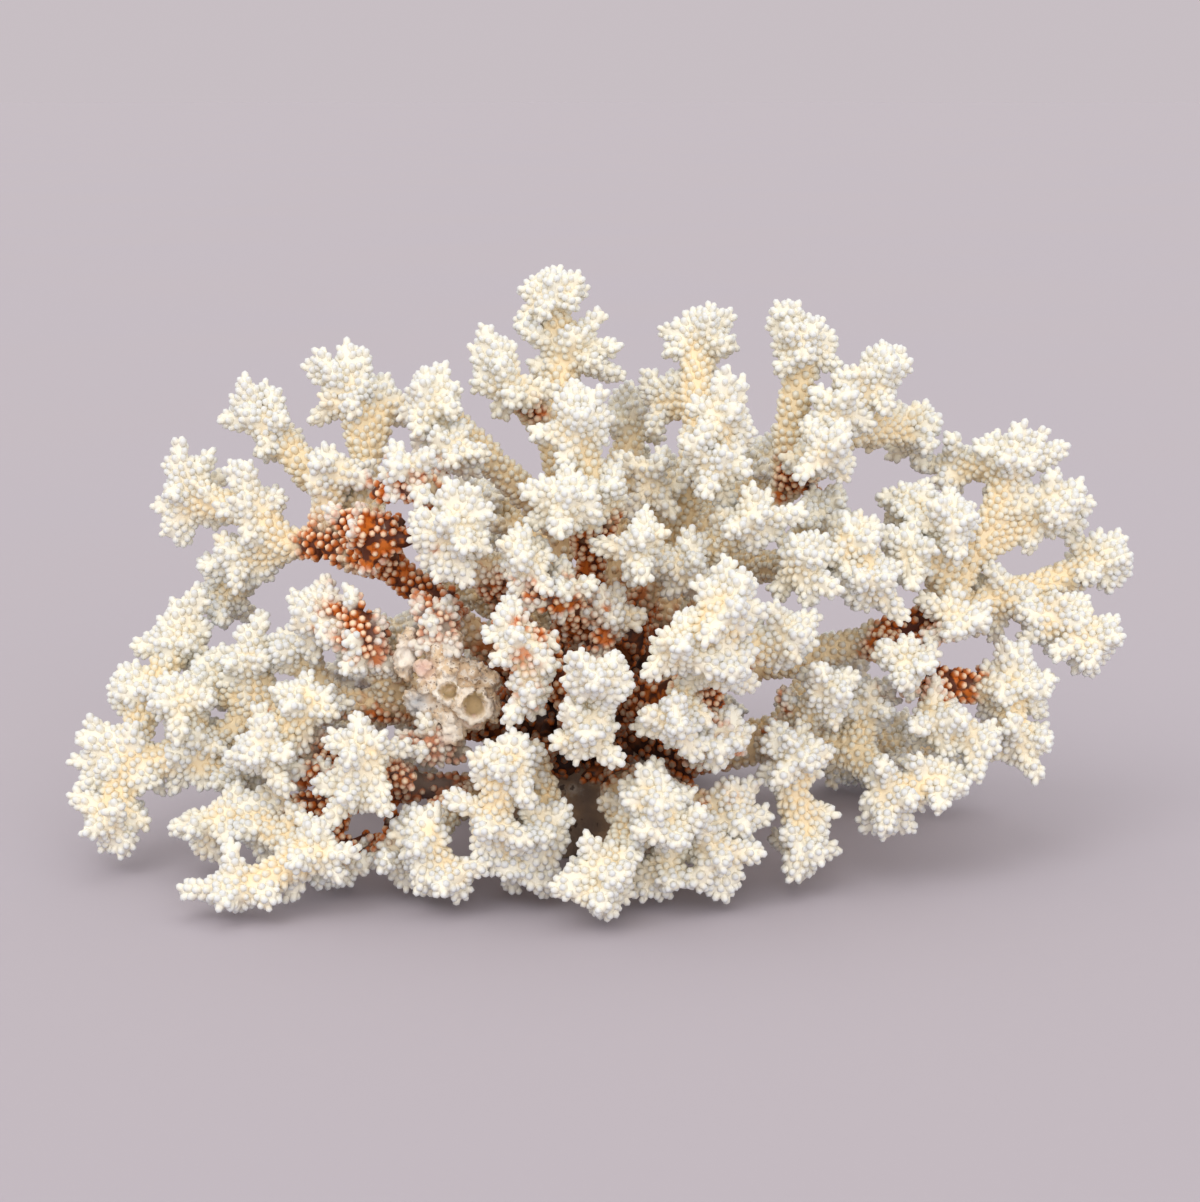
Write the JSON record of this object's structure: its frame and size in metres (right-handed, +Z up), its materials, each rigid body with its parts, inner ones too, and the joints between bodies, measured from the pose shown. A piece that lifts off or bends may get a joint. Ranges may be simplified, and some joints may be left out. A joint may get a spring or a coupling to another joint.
{
  "type": "branching reef coral colony",
  "caption": "Bushy dried reef coral, wider than tall: knobbly bleached branches with brown stems fan out all round from a small heart, cut off flat underneath to stand on a shelf.",
  "frame": {"origin": "middle of the flat cut under the holdfast, on the surface that the coral stands on", "axes": "+Z up, -Y towards the front that the picture shows, +X to the right of that front along the coral's length"},
  "size_m": [0.3172, 0.2055, 0.1722],
  "materials": {
    "bleached_coral": "matt, chalky, white at the tips and brown on the stems",
    "base_stone": "matt, rough, weathered",
    "worm_crust": "matt, chalky crust"
  },
  "bodies": {
    "root": {"branch_centre_right": "bleached_coral", "branch_crusted": "bleached_coral", "branch_front_left_low": "bleached_coral", "branch_left_elbow": "bleached_coral", "branch_left_sweep": "bleached_coral", "branch_lower_left": "bleached_coral", "branch_right_arms": "bleached_coral", "branch_right_elbow": "bleached_coral", "branch_right_fan": "bleached_coral", "branch_right_inner": "bleached_coral", "branch_upper_left_inner": "bleached_coral", "branch_upper_left_outer": "bleached_coral", "holdfast": "base_stone", "limb_back_far_left": "bleached_coral", "limb_back_far_right": "bleached_coral", "limb_back_high_left": "bleached_coral", "limb_back_high_middle": "bleached_coral", "limb_back_high_right": "bleached_coral", "limb_back_left": "bleached_coral", "limb_back_low": "bleached_coral", "limb_back_middle": "bleached_coral", "limb_back_right": "bleached_coral", "limb_centre": "bleached_coral", "limb_centre_left": "bleached_coral", "limb_front": "bleached_coral", "limb_front_left": "bleached_coral", "limb_front_low": "bleached_coral", "limb_front_right": "bleached_coral", "limb_left": "bleached_coral", "limb_lower_left": "bleached_coral", "limb_right": "bleached_coral", "limb_right_low": "bleached_coral", "limb_right_upper": "bleached_coral", "limb_top": "bleached_coral", "limb_upper_left": "bleached_coral", "limb_upper_right": "bleached_coral", "worm_tubes": "worm_crust"}
  },
  "joints": []
}
